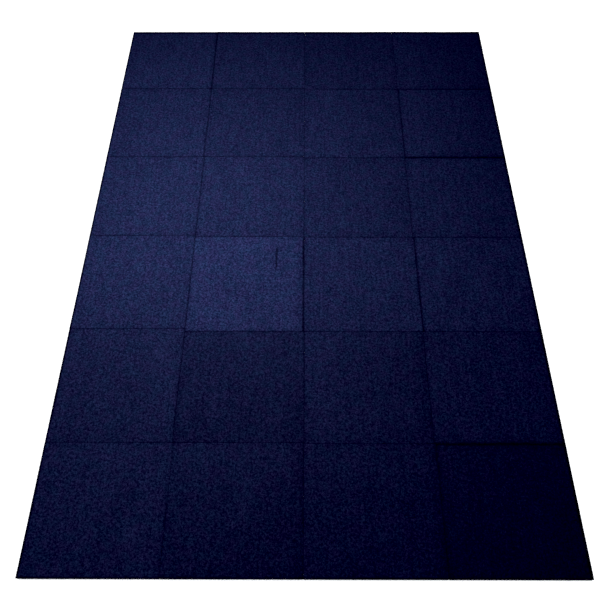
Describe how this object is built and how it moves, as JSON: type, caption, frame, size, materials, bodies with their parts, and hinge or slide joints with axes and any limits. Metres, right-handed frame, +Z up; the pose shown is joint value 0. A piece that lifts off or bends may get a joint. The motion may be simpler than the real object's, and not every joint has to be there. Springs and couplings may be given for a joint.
{
  "type": "blocking mats",
  "caption": "Field of loose square foam mats with a navy textile facing, laid edge to edge as a pinning surface for drying knitwear.",
  "frame": {"origin": "on the floor, under the middle of the laid field", "axes": "+Z up from the floor; +Y along the six rows, away from a person who stands at the near edge; +X to their right, across the four columns"},
  "size_m": [1.2184, 1.828, 0.012],
  "materials": {
    "textile_facing": "matt needle-felted pile, navy with paler fibre flecks",
    "foam_core": "matt closed-cell foam, near black"
  },
  "bodies": {
    "mat_a1": {"mat_a1_core": "foam_core", "mat_a1_facing": "textile_facing"},
    "mat_b1": {"mat_b1_core": "foam_core", "mat_b1_facing": "textile_facing"},
    "mat_c1": {"mat_c1_core": "foam_core", "mat_c1_facing": "textile_facing"},
    "mat_d1": {"mat_d1_core": "foam_core", "mat_d1_facing": "textile_facing"},
    "mat_a2": {"mat_a2_core": "foam_core", "mat_a2_facing": "textile_facing"},
    "mat_b2": {"mat_b2_core": "foam_core", "mat_b2_facing": "textile_facing"},
    "mat_c2": {"mat_c2_core": "foam_core", "mat_c2_facing": "textile_facing"},
    "mat_d2": {"mat_d2_core": "foam_core", "mat_d2_facing": "textile_facing"},
    "mat_a3": {"mat_a3_core": "foam_core", "mat_a3_facing": "textile_facing"},
    "mat_b3": {"mat_b3_core": "foam_core", "mat_b3_facing": "textile_facing"},
    "mat_c3": {"mat_c3_core": "foam_core", "mat_c3_facing": "textile_facing"},
    "mat_d3": {"mat_d3_core": "foam_core", "mat_d3_facing": "textile_facing"},
    "mat_a4": {"mat_a4_core": "foam_core", "mat_a4_facing": "textile_facing"},
    "mat_b4": {"mat_b4_core": "foam_core", "mat_b4_facing": "textile_facing"},
    "mat_c4": {"mat_c4_core": "foam_core", "mat_c4_facing": "textile_facing"},
    "mat_d4": {"mat_d4_core": "foam_core", "mat_d4_facing": "textile_facing"},
    "mat_a5": {"mat_a5_core": "foam_core", "mat_a5_facing": "textile_facing"},
    "mat_b5": {"mat_b5_core": "foam_core", "mat_b5_facing": "textile_facing"},
    "mat_c5": {"mat_c5_core": "foam_core", "mat_c5_facing": "textile_facing"},
    "mat_d5": {"mat_d5_core": "foam_core", "mat_d5_facing": "textile_facing"},
    "mat_a6": {"mat_a6_core": "foam_core", "mat_a6_facing": "textile_facing"},
    "mat_b6": {"mat_b6_core": "foam_core", "mat_b6_facing": "textile_facing"},
    "mat_c6": {"mat_c6_core": "foam_core", "mat_c6_facing": "textile_facing"},
    "mat_d6": {"mat_d6_core": "foam_core", "mat_d6_facing": "textile_facing"}
  },
  "joints": [
    {"name": "mat_b1_lift", "type": "slide", "parent": "mat_a1", "child": "mat_b1", "axis": [0, 0, 1], "range_m": [0, 0.06]},
    {"name": "mat_c1_lift", "type": "slide", "parent": "mat_a1", "child": "mat_c1", "axis": [0, 0, 1], "range_m": [0, 0.06]},
    {"name": "mat_d1_lift", "type": "slide", "parent": "mat_a1", "child": "mat_d1", "axis": [0, 0, 1], "range_m": [0, 0.06]},
    {"name": "mat_a2_lift", "type": "slide", "parent": "mat_a1", "child": "mat_a2", "axis": [0, 0, 1], "range_m": [0, 0.06]},
    {"name": "mat_b2_lift", "type": "slide", "parent": "mat_a1", "child": "mat_b2", "axis": [0, 0, 1], "range_m": [0, 0.06]},
    {"name": "mat_c2_lift", "type": "slide", "parent": "mat_a1", "child": "mat_c2", "axis": [0, 0, 1], "range_m": [0, 0.06]},
    {"name": "mat_d2_lift", "type": "slide", "parent": "mat_a1", "child": "mat_d2", "axis": [0, 0, 1], "range_m": [0, 0.06]},
    {"name": "mat_a3_lift", "type": "slide", "parent": "mat_a1", "child": "mat_a3", "axis": [0, 0, 1], "range_m": [0, 0.06]},
    {"name": "mat_b3_lift", "type": "slide", "parent": "mat_a1", "child": "mat_b3", "axis": [0, 0, 1], "range_m": [0, 0.06]},
    {"name": "mat_c3_lift", "type": "slide", "parent": "mat_a1", "child": "mat_c3", "axis": [0, 0, 1], "range_m": [0, 0.06]},
    {"name": "mat_d3_lift", "type": "slide", "parent": "mat_a1", "child": "mat_d3", "axis": [0, 0, 1], "range_m": [0, 0.06]},
    {"name": "mat_a4_lift", "type": "slide", "parent": "mat_a1", "child": "mat_a4", "axis": [0, 0, 1], "range_m": [0, 0.06]},
    {"name": "mat_b4_lift", "type": "slide", "parent": "mat_a1", "child": "mat_b4", "axis": [0, 0, 1], "range_m": [0, 0.06]},
    {"name": "mat_c4_lift", "type": "slide", "parent": "mat_a1", "child": "mat_c4", "axis": [0, 0, 1], "range_m": [0, 0.06]},
    {"name": "mat_d4_lift", "type": "slide", "parent": "mat_a1", "child": "mat_d4", "axis": [0, 0, 1], "range_m": [0, 0.06]},
    {"name": "mat_a5_lift", "type": "slide", "parent": "mat_a1", "child": "mat_a5", "axis": [0, 0, 1], "range_m": [0, 0.06]},
    {"name": "mat_b5_lift", "type": "slide", "parent": "mat_a1", "child": "mat_b5", "axis": [0, 0, 1], "range_m": [0, 0.06]},
    {"name": "mat_c5_lift", "type": "slide", "parent": "mat_a1", "child": "mat_c5", "axis": [0, 0, 1], "range_m": [0, 0.06]},
    {"name": "mat_d5_lift", "type": "slide", "parent": "mat_a1", "child": "mat_d5", "axis": [0, 0, 1], "range_m": [0, 0.06]},
    {"name": "mat_a6_lift", "type": "slide", "parent": "mat_a1", "child": "mat_a6", "axis": [0, 0, 1], "range_m": [0, 0.06]},
    {"name": "mat_b6_lift", "type": "slide", "parent": "mat_a1", "child": "mat_b6", "axis": [0, 0, 1], "range_m": [0, 0.06]},
    {"name": "mat_c6_lift", "type": "slide", "parent": "mat_a1", "child": "mat_c6", "axis": [0, 0, 1], "range_m": [0, 0.06]},
    {"name": "mat_d6_lift", "type": "slide", "parent": "mat_a1", "child": "mat_d6", "axis": [0, 0, 1], "range_m": [0, 0.06]}
  ]
}
